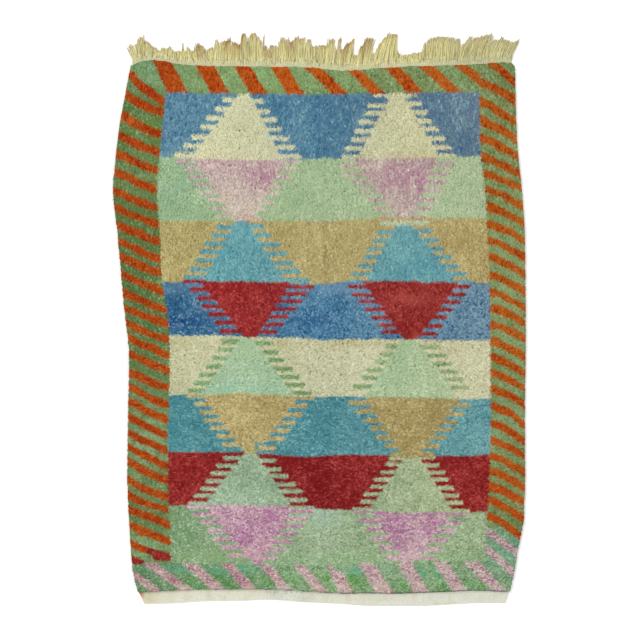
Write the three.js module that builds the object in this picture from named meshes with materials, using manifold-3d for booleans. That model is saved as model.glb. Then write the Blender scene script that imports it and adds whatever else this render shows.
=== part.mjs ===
// Konya rug: a hand-knotted wool rug that lies flat on the floor, pile up, with a warp fringe at one
// end and a plain woven heading at the other. Millimetres, +Z up, +Y towards the fringe.
import * as THREE from 'three';
import Module from 'manifold-3d';

const wasm = await Module();
wasm.setup();

// Driving dimensions
const PILE_TOP = 12;          // floor to the tips of the pile, which lies over
const GROUND_WEAVE = 3.4;     // knot bases and wefts, upright at the rim
const PILE_BELLY = 7.5;       // height at which the outer tufts lean furthest out
const PILE_SHOULDER = 10.8;   // height where the rim turns over into the top
const RIM_LEAN = 3;           // how far the outer tufts lean past the ground weave
const SHOULDER_INSET = 1.5;   // the rim's rounding below the top
const TOP_INSET = 7;          // where the rounding ends on top
const TUFT_JITTER = 1.5;      // unevenness of the outer tufts
const WAVE_HEIGHT = 0.7;      // broad waves of the pile
const LUMP_HEIGHT = 0.8;      // lumps from place to place
const FOLD_X = 39;            // an old lengthwise fold, still seen as a shallow crease
const FOLD_WIDTH = 16;
const FOLD_DEPTH = 1.1;
const SEAM_GAP = 0.4;         // between the pieces, measured along the rug
const HEADING_THICKNESS = 3;  // plain woven end
const HEM_RIPPLE = 0.4;       // its thickness varies this much along the edge
const STRIP_THICKNESS = 2.6;  // woven strip that the fringe grows from
const STRIP_DEPTH = 18;
const STRIP_ENDS = [-561, 579];
const EDGE_ROUND = 1.2;       // rounding along the edges of both strips
const STRAND_SINK = 5;        // length of each strand inside the strip
const STRAND_ROOT = { width: 4.6, height: 2.2 };
const STRAND_TIP = { width: 2.6, height: 1.1 };
const STRAND_SWEEP = 1.6;     // strands leave the strip straight and lean over later
const SEED = 12;

// Steps of the meshes
const CELLS_ACROSS = 32;
const CELLS_ALONG = 42;
const RIM_ACROSS = 2 * CELLS_ACROSS;
const RIM_ALONG = 2 * CELLS_ALONG;
const STRAND_STEPS = 3;

// The knotted part's left and right edges, from the heading up to the fringe
const SIDES = [
  { y: -853, left: -525, right: 561 },
  { y: -818, left: -541, right: 571 },
  { y: -756, left: -558, right: 585 },
  { y: -684, left: -564, right: 597 },
  { y: -612, left: -569, right: 612 },
  { y: -540, left: -573, right: 616 },
  { y: -300, left: -573, right: 617 },
  { y: -84, left: -571, right: 619 },
  { y: 60, left: -587, right: 619 },
  { y: 180, left: -597, right: 618 },
  { y: 300, left: -609, right: 615 },
  { y: 372, left: -618, right: 610 },
  { y: 492, left: -609, right: 597 },
  { y: 588, left: -597, right: 591 },
  { y: 684, left: -579, right: 589 },
  { y: 762, left: -565, right: 588 },
];

// Its edge against the fringe, which rises at the left and falls off round at the right
const FRINGED_END = [
  { x: -565, y: 761 },
  { x: -540, y: 771 },
  { x: -510, y: 776.5 },
  { x: -465, y: 774 },
  { x: -438, y: 767 },
  { x: -375, y: 761 },
  { x: -213, y: 757.5 },
  { x: 3, y: 751.5 },
  { x: 50, y: 745.5 },
  { x: 90, y: 745.5 },
  { x: 192, y: 753 },
  { x: 297, y: 759 },
  { x: 408, y: 761 },
  { x: 492, y: 765 },
  { x: 560, y: 769.5 },
  { x: 580, y: 765 },
  { x: 588, y: 757 },
];

// Its edge against the heading, and the heading's own free edge
const HEADED_END = [
  { x: -541, pile: -818, hem: -852 },
  { x: -432, pile: -811, hem: -850 },
  { x: -360, pile: -808, hem: -845 },
  { x: -240, pile: -808, hem: -843 },
  { x: -150, pile: -807, hem: -840 },
  { x: -42, pile: -812, hem: -847 },
  { x: 63, pile: -819, hem: -852 },
  { x: 150, pile: -818, hem: -858 },
  { x: 240, pile: -819, hem: -858 },
  { x: 318, pile: -816, hem: -858 },
  { x: 375, pile: -814, hem: -855 },
  { x: 470, pile: -810, hem: -850 },
  { x: 571, pile: -814, hem: -850 },
];

// Bunches of the fringe from left to right: x at the roots, x and y at the tips of the first and the
// last strand, and the number of strands
const BUNCHES = [
  { root: [-558, -551], tip: [-577, -569], reach: [818, 832], strands: 2 },
  { root: [-545, -545], tip: [-552, -552], reach: [828, 828], strands: 1 },
  { root: [-539, -524], tip: [-545, -531], reach: [846, 843], strands: 3 },
  { root: [-518, -483], tip: [-517, -481], reach: [839, 808], strands: 6 },
  { root: [-476, -440], tip: [-473, -438], reach: [821, 807], strands: 6 },
  { root: [-433, -402], tip: [-431, -403], reach: [806, 807], strands: 6 },
  { root: [-395, -382], tip: [-396, -384], reach: [819, 802], strands: 3 },
  { root: [-366, -341], tip: [-370, -352], reach: [827, 829], strands: 5 },
  { root: [-332, -320], tip: [-330, -321], reach: [812, 817], strands: 3 },
  { root: [-312, -312], tip: [-309, -309], reach: [843, 843], strands: 1 },
  { root: [-304, -273], tip: [-296, -269], reach: [832, 845], strands: 6 },
  { root: [-265, -243], tip: [-259, -243], reach: [838, 827], strands: 4 },
  { root: [-236, -218], tip: [-231, -220], reach: [844, 857], strands: 4 },
  { root: [-210, -190], tip: [-205, -189], reach: [859, 857], strands: 4 },
  { root: [-184, -173], tip: [-182, -174], reach: [850, 834], strands: 3 },
  { root: [-167, -167], tip: [-167, -167], reach: [851, 851], strands: 1 },
  { root: [-161, -155], tip: [-160, -154], reach: [818, 806], strands: 2 },
  { root: [-148, -125], tip: [-144, -125], reach: [825, 816], strands: 5 },
  { root: [-118, -108], tip: [-117, -108], reach: [830, 848], strands: 3 },
  { root: [-102, -96], tip: [-102, -96], reach: [846, 833], strands: 2 },
  { root: [-90, -72], tip: [-86, -68], reach: [829, 850], strands: 4 },
  { root: [-66, -60], tip: [-61, -56], reach: [845, 833], strands: 2 },
  { root: [-54, -42], tip: [-50, -40], reach: [843, 843], strands: 3 },
  { root: [-36, -24], tip: [-32, -22], reach: [838, 842], strands: 3 },
  { root: [-18, -12], tip: [-15, -5], reach: [820, 832], strands: 2 },
  { root: [-4, 22], tip: [4, 27], reach: [822, 834], strands: 5 },
  { root: [28, 40], tip: [34, 50], reach: [846, 842], strands: 3 },
  { root: [48, 54], tip: [62, 68], reach: [842, 845], strands: 2 },
  { root: [61, 68], tip: [69, 76], reach: [811, 811], strands: 2 },
  { root: [75, 94], tip: [91, 107], reach: [838, 840], strands: 4 },
  { root: [101, 108], tip: [104, 110], reach: [795, 791], strands: 2 },
  { root: [116, 150], tip: [141, 169], reach: [840, 843], strands: 6 },
  { root: [157, 198], tip: [170, 215], reach: [806, 859], strands: 7 },
  { root: [206, 242], tip: [221, 239], reach: [848, 848], strands: 6 },
  { root: [250, 304], tip: [251, 306], reach: [794, 804], strands: 9 },
  { root: [311, 331], tip: [316, 339], reach: [824, 847], strands: 4 },
  { root: [338, 396], tip: [346, 406], reach: [847, 847], strands: 10 },
  { root: [403, 415], tip: [416, 427], reach: [839, 844], strands: 3 },
  { root: [422, 440], tip: [440, 462], reach: [836, 853], strands: 4 },
  { root: [447, 499], tip: [472, 524], reach: [849, 857], strands: 9 },
  { root: [506, 530], tip: [531, 551], reach: [836, 847], strands: 4 },
  { root: [537, 560], tip: [559, 584], reach: [838, 831], strands: 4 },
  { root: [566, 572], tip: [590, 596], reach: [826, 814], strands: 2 },
];

const lerp = THREE.MathUtils.lerp;

THREE.MathUtils.seededRandom(SEED);

// A seeded number between -size and size
function jitter(size) {
  return size * (2 * THREE.MathUtils.seededRandom() - 1);
}

// A smooth curve through one column of a table
function curve(rows, from, to) {
  const spline = new THREE.CubicInterpolant(rows.map((row) => row[from]), rows.map((row) => row[to]), 1);
  return (at) => spline.evaluate(at)[0];
}

const leftEdge = curve(SIDES, 'y', 'left');
const rightEdge = curve(SIDES, 'y', 'right');
const fringedEdge = curve(FRINGED_END, 'x', 'y');
const headedEdge = curve(HEADED_END, 'x', 'pile');
const hemEdge = curve(HEADED_END, 'x', 'hem');

// The place of a knot, from its share of the width and of the length
function weavePoint(across, along) {
  let x = lerp(SIDES[0].left, SIDES[0].right, across);
  let y = 0;
  for (let pass = 0; pass < 4; pass += 1) {
    y = lerp(headedEdge(x), fringedEdge(x), along);
    x = lerp(leftEdge(y), rightEdge(y), across);
  }
  return new THREE.Vector2(x, y);
}

// A closed mesh from its vertices and triangles
function solid(points, triangles) {
  const geometry = new THREE.BufferGeometry().setFromPoints(points);
  geometry.setIndex(triangles.flat());
  return geometry;
}

// The two triangles of a four-sided face, its corners in order
function quad(a, b, c, d) {
  return [[a, b, c], [a, c, d]];
}

// Height of the pile's top, with its waves, its lumps and the old fold
function pileHeight(x, y) {
  const waves = Math.sin(x / 97 + y / 210) + Math.sin(y / 131 - x / 340 + 1);
  const fold = Math.exp(-(((x - FOLD_X) / FOLD_WIDTH) ** 2));
  return PILE_TOP + WAVE_HEIGHT * waves / 2 + jitter(LUMP_HEIGHT) - FOLD_DEPTH * fold;
}

// Shares of width and length round the rim, anticlockwise from the left end of the heading
function rimShares(stepsAcross, stepsAlong) {
  const shares = [];
  for (let i = 0; i < stepsAcross; i += 1) shares.push([i / stepsAcross, 0]);
  for (let i = 0; i < stepsAlong; i += 1) shares.push([1, i / stepsAlong]);
  for (let i = 0; i < stepsAcross; i += 1) shares.push([1 - i / stepsAcross, 1]);
  for (let i = 0; i < stepsAlong; i += 1) shares.push([0, 1 - i / stepsAlong]);
  return shares;
}

// The knotted pile on its ground weave, one lumpy slab with a ragged rim
function knottedPile() {
  const rim = rimShares(RIM_ACROSS, RIM_ALONG).map(([across, along]) => weavePoint(across, along));
  const count = rim.length;
  const outward = rim.map((point, i) => {
    const before = rim[(i + count - 1) % count];
    const after = rim[(i + 1) % count];
    return new THREE.Vector2(after.y - before.y, before.x - after.x).normalize();
  });
  const points = [];
  const triangles = [];
  const levels = [
    { z: 0, out: 0, ragged: 0 },
    { z: GROUND_WEAVE, out: 0, ragged: 0 },
    { z: PILE_BELLY, out: RIM_LEAN - TUFT_JITTER, ragged: TUFT_JITTER },
    { z: PILE_SHOULDER, out: -SHOULDER_INSET, ragged: TUFT_JITTER },
  ];
  for (const level of levels) {
    rim.forEach((point, i) => {
      const out = level.out + jitter(level.ragged);
      points.push(new THREE.Vector3(point.x + out * outward[i].x, point.y + out * outward[i].y, level.z));
    });
  }
  for (let level = 0; level + 1 < levels.length; level += 1) {
    for (let i = 0; i < count; i += 1) {
      const low = level * count;
      const next = (i + 1) % count;
      triangles.push(...quad(low + i, low + next, low + count + next, low + count + i));
    }
  }

  // the flat underside
  for (const [a, b, c] of THREE.ShapeUtils.triangulateShape(rim, [])) {
    const turn = (rim[b].x - rim[a].x) * (rim[c].y - rim[a].y) - (rim[b].y - rim[a].y) * (rim[c].x - rim[a].x);
    triangles.push(turn > 0 ? [a, c, b] : [a, b, c]);
  }

  // the top, a grid whose border lies a little inside the rim
  const grid = points.length;
  const row = CELLS_ACROSS + 1;
  for (let j = 0; j <= CELLS_ALONG; j += 1) {
    for (let i = 0; i <= CELLS_ACROSS; i += 1) {
      const place = weavePoint(i / CELLS_ACROSS, j / CELLS_ALONG);
      place.x += i === 0 ? TOP_INSET : 0;
      place.x -= i === CELLS_ACROSS ? TOP_INSET : 0;
      place.y += j === 0 ? TOP_INSET : 0;
      place.y -= j === CELLS_ALONG ? TOP_INSET : 0;
      points.push(new THREE.Vector3(place.x, place.y, pileHeight(place.x, place.y)));
    }
  }
  for (let j = 0; j < CELLS_ALONG; j += 1) {
    for (let i = 0; i < CELLS_ACROSS; i += 1) {
      const corner = grid + j * row + i;
      triangles.push(...quad(corner, corner + 1, corner + row + 1, corner + row));
    }
  }

  // the turn from rim to top, two steps of the rim to each cell of the grid
  const border = rimShares(CELLS_ACROSS, CELLS_ALONG).map(([across, along]) => (
    grid + Math.round(along * CELLS_ALONG) * row + Math.round(across * CELLS_ACROSS)
  ));
  const shoulder = (levels.length - 1) * count;
  border.forEach((a, k) => {
    const b = border[(k + 1) % border.length];
    const [r0, r1, r2] = [0, 1, 2].map((step) => shoulder + (2 * k + step) % count);
    triangles.push([r0, r1, a], [r1, b, a], [r1, r2, b]);
  });
  return solid(points, triangles);
}

// A flat woven strip between two lines of points, rounded along both; ripple varies its thickness
function wovenStrip(lower, upper, thickness, ripple) {
  const points = [];
  const triangles = [];
  lower.forEach((low, i) => {
    const high = upper[i];
    const round = EDGE_ROUND / low.distanceTo(high);
    const top = thickness + jitter(ripple);
    const section = [[0, 0], [1, 0], [1, 0.6 * top], [1 - round, top], [round, top], [0, 0.6 * top]];
    for (const [share, z] of section) {
      points.push(new THREE.Vector3(lerp(low.x, high.x, share), lerp(low.y, high.y, share), z));
    }
  });
  const corners = 6;
  const last = (lower.length - 1) * corners;
  for (let here = 0; here < last; here += corners) {
    for (let k = 0; k < corners; k += 1) {
      const next = (k + 1) % corners;
      triangles.push(...quad(here + k, here + next, here + corners + next, here + corners + k));
    }
  }
  for (let k = 1; k + 1 < corners; k += 1) {
    triangles.push([0, k + 1, k], [last, last + k, last + k + 1]);
  }
  return solid(points, triangles);
}

// The rim's corners along one end of the pile, from left to right
function endLine(along) {
  return Array.from({ length: RIM_ACROSS + 1 }, (_, i) => weavePoint(i / RIM_ACROSS, along));
}

// A line's corners between two places across, with those two places added
function cutLine(line, from, to) {
  const at = (x) => {
    const k = line.findIndex((point) => point.x > x);
    const share = (x - line[k - 1].x) / (line[k].x - line[k - 1].x);
    return line[k - 1].clone().lerp(line[k], share);
  };
  return [at(from), ...line.filter((point) => point.x > from && point.x < to), at(to)];
}

// The plain woven heading beyond the pile, its free edge a little uneven
function plainHeading() {
  const joined = endLine(0).map((point) => new THREE.Vector2(point.x, point.y - SEAM_GAP));
  const free = joined.map((point, i) => {
    const x = lerp(SIDES[0].left, SIDES[0].right, i / RIM_ACROSS);
    return new THREE.Vector2(x, hemEdge(x));
  });
  return wovenStrip(free, joined, HEADING_THICKNESS, HEM_RIPPLE);
}

// The strip's edge that the strands grow from
function strandLine(x) {
  return fringedEdge(x) + STRIP_DEPTH;
}

// One tapered three-sided strand that lies on the floor, from inside the strip to its tip
function strand(rootX, tipX, tipY) {
  const points = [];
  const triangles = [];
  const start = strandLine(rootX) - STRAND_SINK;
  const place = (share) => {
    const lean = share ** STRAND_SWEEP;
    return new THREE.Vector2(lerp(rootX, tipX, lean), lerp(start, tipY, share));
  };
  for (let i = 0; i <= STRAND_STEPS; i += 1) {
    const share = i / STRAND_STEPS;
    const here = place(share);
    const ahead = place(share + 0.01).sub(here).normalize();
    const half = lerp(STRAND_ROOT.width, STRAND_TIP.width, share) / 2;
    const height = lerp(STRAND_ROOT.height, STRAND_TIP.height, share);
    points.push(
      new THREE.Vector3(here.x + half * ahead.y, here.y - half * ahead.x, 0),
      new THREE.Vector3(here.x, here.y, height),
      new THREE.Vector3(here.x - half * ahead.y, here.y + half * ahead.x, 0),
    );
  }
  for (let i = 0; i < STRAND_STEPS; i += 1) {
    for (let k = 0; k < 3; k += 1) {
      const next = (k + 1) % 3;
      triangles.push(...quad(3 * i + k, 3 * i + 3 + k, 3 * i + 3 + next, 3 * i + next));
    }
  }
  const last = 3 * STRAND_STEPS;
  triangles.push([0, 1, 2], [last, last + 2, last + 1]);
  return solid(points, triangles);
}

// A closed geometry as a solid that can be joined
function toManifold(geometry) {
  return new wasm.Manifold(new wasm.Mesh({
    numProp: 3,
    vertProperties: new Float32Array(geometry.attributes.position.array),
    triVerts: new Uint32Array(geometry.index.array),
  }));
}

// A joined solid back as a geometry
function fromManifold(joined) {
  const mesh = joined.getMesh();
  const geometry = new THREE.BufferGeometry();
  geometry.setAttribute('position', new THREE.BufferAttribute(mesh.vertProperties, 3));
  geometry.setIndex(new THREE.BufferAttribute(mesh.triVerts, 1));
  return geometry;
}

// The narrow strip past the pile and the warp ends that grow from it, fused at their roots
function fringeHeading() {
  const joined = cutLine(endLine(1), ...STRIP_ENDS).map((point) => (
    new THREE.Vector2(point.x, point.y + SEAM_GAP)
  ));
  const rooted = joined.map(({ x }) => new THREE.Vector2(x, strandLine(x)));
  let fringe = toManifold(wovenStrip(joined, rooted, STRIP_THICKNESS, 0));
  for (const bunch of BUNCHES) {
    for (let i = 0; i < bunch.strands; i += 1) {
      const share = bunch.strands > 1 ? i / (bunch.strands - 1) : 0;
      const [rootX, tipX, tipY] = [bunch.root, bunch.tip, bunch.reach].map(([a, b]) => lerp(a, b, share));
      fringe = fringe.add(toManifold(strand(rootX, tipX, tipY)));
    }
  }
  return fromManifold(fringe);
}

// Materials: dyed wool pile, undyed wool fringe and heading
const dyedWool = new THREE.MeshStandardMaterial({ color: '#8c9a7c', roughness: 0.95, metalness: 0 });
const warpWool = new THREE.MeshStandardMaterial({ color: '#c4ba7f', roughness: 0.9, metalness: 0 });
const headingWool = new THREE.MeshStandardMaterial({ color: '#d7d8c6', roughness: 0.92, metalness: 0 });

// Adds a named piece to the rug
function addPiece(group, name, geometry, material) {
  const mesh = new THREE.Mesh(geometry, material);
  mesh.name = name;
  group.add(mesh);
}

const rug = new THREE.Group();
addPiece(rug, 'knotted_pile', knottedPile(), dyedWool);
addPiece(rug, 'fringe_heading', fringeHeading(), warpWool);
addPiece(rug, 'plain_heading', plainHeading(), headingWool);

// The origin lies under the middle of the rug
const box = new THREE.Box3().setFromObject(rug);
const middle = box.getCenter(new THREE.Vector3());
rug.position.set(-middle.x, -middle.y, -box.min.z);

export default rug;
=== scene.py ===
import math

import bpy
import numpy as np
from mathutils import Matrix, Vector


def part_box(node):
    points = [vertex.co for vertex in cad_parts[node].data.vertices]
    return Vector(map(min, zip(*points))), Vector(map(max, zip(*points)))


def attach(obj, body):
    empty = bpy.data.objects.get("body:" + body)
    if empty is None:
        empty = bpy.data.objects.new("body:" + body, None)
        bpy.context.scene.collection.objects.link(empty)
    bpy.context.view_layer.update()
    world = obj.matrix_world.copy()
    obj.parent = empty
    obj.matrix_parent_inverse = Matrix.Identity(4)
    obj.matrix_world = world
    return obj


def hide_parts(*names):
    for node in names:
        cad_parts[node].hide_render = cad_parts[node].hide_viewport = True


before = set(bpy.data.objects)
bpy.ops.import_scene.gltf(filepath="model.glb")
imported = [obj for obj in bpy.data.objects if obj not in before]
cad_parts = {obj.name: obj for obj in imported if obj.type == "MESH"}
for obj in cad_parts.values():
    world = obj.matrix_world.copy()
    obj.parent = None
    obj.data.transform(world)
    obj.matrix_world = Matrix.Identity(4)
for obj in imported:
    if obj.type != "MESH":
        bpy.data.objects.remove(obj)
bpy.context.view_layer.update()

# Camera, floor and light. The photograph looks straight down on the rug, spread on plain white in
# soft even light that comes a little stronger from its upper left.
PHOTO_SIDE = 1.92              # metres of floor across the photograph, 3 mm to each of its 640 pixels
PHOTO_MIDDLE = (0.0025, 0.0)   # where the photograph's middle falls beside the rug's own
PILE_PLANE = 0.011             # the height that the photograph's scale is taken at
LENS_MM = 85
SENSOR_MM = 36
SKY_STRENGTH = 0.95
SUN_STRENGTH = 1.35
SUN_SPREAD = math.radians(40)
SUN_TILT = (math.radians(-32), math.radians(-26), 0)
FLOOR_SIDE = 40
FLOOR_DROP = 0.0002            # the rug's underside stays clear of the floor by this much


def add_node(tree, kind, inputs=None, **settings):
    """Adds a node with its settings; an input takes a plain value or another node's output"""
    made = tree.nodes.new(kind)
    for name, value in settings.items():
        setattr(made, name, value)
    for name, value in (inputs or {}).items():
        if isinstance(value, bpy.types.NodeSocket):
            tree.links.new(value, made.inputs[name])
        else:
            made.inputs[name].default_value = value
    return made


def linear(hex_colour):
    """An sRGB hex colour as linear red, green and blue"""
    channels = np.array([int(hex_colour[i:i + 2], 16) / 255 for i in (1, 3, 5)])
    return np.where(channels <= 0.04045, channels / 12.92, ((channels + 0.055) / 1.055) ** 2.4)


def new_material(name):
    """An empty material, its node tree and its output"""
    material = bpy.data.materials.new(name)
    material.use_nodes = True
    material.node_tree.nodes.clear()
    return material, material.node_tree, add_node(material.node_tree, "ShaderNodeOutputMaterial")


bpy.ops.object.select_all(action="DESELECT")
distance = PHOTO_SIDE * LENS_MM / SENSOR_MM
bpy.ops.object.camera_add(location=(*PHOTO_MIDDLE, PILE_PLANE + distance), rotation=(0, 0, 0))
camera = bpy.context.object
camera.data.lens = LENS_MM
camera.data.sensor_width = SENSOR_MM
bpy.context.scene.camera = camera

bpy.ops.object.light_add(type="SUN", rotation=SUN_TILT)
sun = bpy.context.object
sun.data.energy = SUN_STRENGTH
sun.data.angle = SUN_SPREAD

sky = bpy.data.worlds.new("studio_light")
sky.use_nodes = True
sky.node_tree.nodes.clear()
glow = add_node(sky.node_tree, "ShaderNodeBackground", {"Color": (1, 1, 1, 1), "Strength": SKY_STRENGTH})
add_node(sky.node_tree, "ShaderNodeOutputWorld", {"Surface": glow.outputs[0]})
bpy.context.scene.world = sky
bpy.context.scene.view_settings.view_transform = "Standard"

bpy.ops.mesh.primitive_plane_add(size=FLOOR_SIDE, location=(0, 0, -FLOOR_DROP))
floor = bpy.context.object
floor.name = "floor"
# Matt white background paper, smooth and without gloss, so only the rug's soft shadow shows on it
paper, tree, output = new_material("white_paper_floor")
matt_white = add_node(tree, "ShaderNodeBsdfPrincipled", {
    "Base Color": (*linear("#f6f6f5"), 1), "Roughness": 0.9, "Specular IOR Level": 0.1})
tree.links.new(matt_white.outputs[0], output.inputs["Surface"])
floor.data.materials.append(paper)

# Field of the knotted pile: eight bands, each in its own dyed wool, with two stepped and toothed
# triangles in a second dye. Every knot leaves a lock of thick handspun wool that is cut long and
# lies over towards the fringe, flatter at that end and nearly upright near the heading.

# Sizes from here on are in mm. Places are measured from the photograph's middle, and a place's height,
# y, goes up the photograph towards the fringe.
KNOT_SPACING = 4.0
ROW_SPACING = ((-820, 3.5), (-100, 3.6), (350, 5.2), (780, 5.4))   # height, spacing of the rows there
LAST_ROW = 2                   # rows are added until one is this near the fringe
KNOT_JITTER = 0.25             # share of the spacing by which a lock stands off its place
ROOTS_WITHIN = (0.002, 0.998)  # shares of the width and of the length that all roots stay between
LOCK_LONG = (7.8, 9.2)         # half length of a lock where it is fullest: near the heading, the fringe
LOCK_BROAD = (4.8, 6.2)        # and its half width across its lean
LOCK_UNEVEN = (0.85, 1.15)     # smallest and largest lock beside the usual one
LOCK_ROOT = 1.6                # height above the floor that locks grow from, inside the ground weave
RING_LEVEL = 0.68              # a lock is fullest at this share of its length
LAID_OVER = (-250, 350)        # the locks go from nearly upright to laid over between these heights
LEAN_LONG = (4.5, 11)          # how far a lock's tip stands off its root: nearly upright, laid over
LEAN_UNEVEN = (0.7, 1.3)       # shortest and longest lean beside the usual one
SIDE_LEAN = (1.3, 0.35)        # angle between an upright lock's lean and the rug's length, its spread
LAID_SPREAD = 0.22             # spread of that angle, in radians too, where the locks are laid over
LEAN_SWEEP = 0.25              # neighbouring locks turn together by up to this angle, over LEAN_PATCH
LEAN_PATCH = 70
LEAN_CURVE = 1.4               # a lock goes over more towards its tip
RISE_CURVE = 1.7               # and rises less there
SEEN_SHARE = 0.7               # a lock shows at this share of its lean and has the dye of that place
ROOT_PAINTED_SHADE = 0.86               # a lock is this much of its colour at its root: painted shade, where its neighbours shade it
TIP_PAINTED_LIGHT = 0.2                 # and lighter at its tip by this share: painted light on the lit tip
RIM_SLACK = 1.0                # at the sides and heading, locks are clipped this far past the edge
FRINGE_SLACK = 2.5             # and less evenly at the fringe, this far on average
RIM_PULL = 0.9                 # the clipping takes this share off what stands past the line
BLEND = 1.4                    # fibres of neighbouring knots mix over this distance each way
PILE_TOP = 11.6
WAVES = ((97, 210, 0), (-340, 131, 1))   # the rug's low waves: x and y for a radian of each, its start
WAVE_HEIGHT = 0.7
LUMP_HEIGHT = 0.6
FOLD_X, FOLD_WIDTH, FOLD_DEPTH = 39, 16, 1.1
SEED = 7

# The knotted part's left and right edges, from the heading up to the fringe
SIDES = [  # y, left, right
    (-853, -525, 561), (-818, -541, 571), (-756, -558, 585), (-684, -564, 597), (-612, -569, 612),
    (-540, -573, 616), (-300, -573, 617), (-84, -571, 619), (60, -587, 619), (180, -597, 618),
    (300, -609, 615), (372, -618, 610), (492, -609, 597), (588, -597, 591), (684, -579, 589),
    (762, -565, 588),
]

# Its edge against the fringe, and its edge against the heading with the heading's free edge
FRINGED_END = [  # x, y
    (-565, 761), (-540, 771), (-510, 776.5), (-465, 774), (-438, 767), (-375, 761), (-213, 757.5),
    (3, 751.5), (50, 745.5), (90, 745.5), (192, 753), (297, 759), (408, 761), (492, 765),
    (560, 769.5), (580, 765), (588, 757),
]
HEADED_END = [  # x, pile, hem
    (-541, -818, -852), (-432, -811, -850), (-360, -808, -845), (-240, -808, -843),
    (-150, -807, -840), (-42, -812, -847), (63, -819, -852), (150, -818, -858), (240, -819, -858),
    (318, -816, -858), (375, -814, -855), (470, -810, -850), (571, -814, -850),
]

# The field inside its border: left and right edges, and the lines between the bands from the top
# border down, each at seven places across
FIELD_SIDES = [  # y, left, right
    (-720, -444, 498), (-640, -444, 502), (-560, -451, 506), (-400, -453, 513), (20, -455, 513),
    (120, -470, 512), (270, -478, 505), (387, -486, 498), (490, -478, 487), (684, -459, 481),
]
LINE_PLACES = (-450, -230, -60, 20, 80, 240, 480)
LINE_WANDER = 2.2              # the lines waver by this much
BAND_LINES = [
    (683, 678, 678, 678, 678, 682, 685),
    (489, 479, 480, 486, 486, 484, 493),
    (297, 297, 298, 297, 301, 304, 306),
    (114, 117, 111, 108, 117, 118, 111),
    (-46, -48, -54, -60, -58, -57, -61),
    (-225, -219, -228, -231, -229, -232, -237),
    (-396, -397, -408, -408, -402, -409, -406),
    (-555, -555, -561, -568, -570, -577, -576),
    (-729, -733, -735, -735, -732, -726, -723),
]

# Each band from the top, with the dyes of its ground, of its figures and of their teeth
BANDS = [
    ("blue_cream", "sky blue", "cream", "cream"),
    ("mint_pink", "pale mint", "faded pink", "faded pink"),
    ("tan_teal", "camel", "teal", "teal"),
    ("blue_red", "deep blue", "bright red", "bright red"),
    ("cream_mint", "warm cream", "mint", "leaf green"),
    ("teal_tan", "deep teal", "straw", "straw"),
    ("red_mint", "madder red", "grey mint", "grey mint"),
    ("green_lilac", "sage", "lilac", "lilac"),
]

# The toothed edges of the sixteen figures, two figures to a band and a line to each, first its left
# edge and then its right one. From the first tooth to the last, going down: the height of its
# middle, its tip, and the solid part's edge there.
COMBS = [  # teeth, heights, tips, solid edges
    (7, (660, 495), (-291, -429), (-252, -379)), (7, (655, 490), (-167, -51), (-196, -118)),
    (8, (672, 489), (159, 65), (216, 117)), (8, (675, 492), (291, 415), (251, 362)),
    (8, (478, 310), (-427, -300), (-370, -258)), (8, (477, 307), (-54, -171), (-105, -195)),
    (7, (460, 311), (58, 184), (121, 240)), (7, (466, 309), (411, 324), (343, 279)),
    (7, (281, 126), (-304, -407), (-259, -343)), (7, (281, 117), (-163, -27), (-207, -105)),
    (7, (263, 114), (177, 84), (220, 138)), (7, (265, 113), (338, 458), (292, 414)),
    (7, (116, -33), (-408, -294), (-357, -238)), (7, (102, -36), (-18, -124), (-91, -180)),
    (7, (101, -38), (85, 189), (144, 241)), (7, (101, -41), (458, 353), (411, 306)),
    (7, (-65, -213), (-290, -394), (-241, -346)), (7, (-70, -221), (-139, -17), (-189, -82)),
    (6, (-77, -200), (200, 104), (238, 156)), (6, (-82, -203), (364, 452), (307, 394)),
    (7, (-228, -372), (-396, -288), (-349, -243)), (7, (-234, -382), (-12, -122), (-64, -178)),
    (7, (-247, -404), (92, 214), (147, 246)), (7, (-255, -402), (452, 344), (408, 304)),
    (7, (-414, -550), (-290, -392), (-234, -339)), (7, (-422, -563), (-130, -15), (-174, -81)),
    (8, (-412, -567), (213, 104), (257, 154)), (8, (-412, -570), (345, 452), (301, 399)),
    (7, (-559, -705), (-396, -278), (-340, -217)), (7, (-573, -710), (-12, -119), (-87, -159)),
    (6, (-574, -713), (103, 200), (165, 246)), (6, (-581, -713), (448, 344), (390, 295)),
]
TOOTH_SHARE = 0.52             # a tooth's height as a share of the step from one to the next
TOOTH_ROUND = 4.5              # rounding at a tooth's tip
TOOTH_WANDER = 2.5             # how unevenly the weaver counted the knots of a tooth
TOOTH_CLIMB = 60               # upwards, a wander of this much would move a tooth by a whole step
SOLID_WANDER = 2               # the solid part's edge wavers by this much

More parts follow.
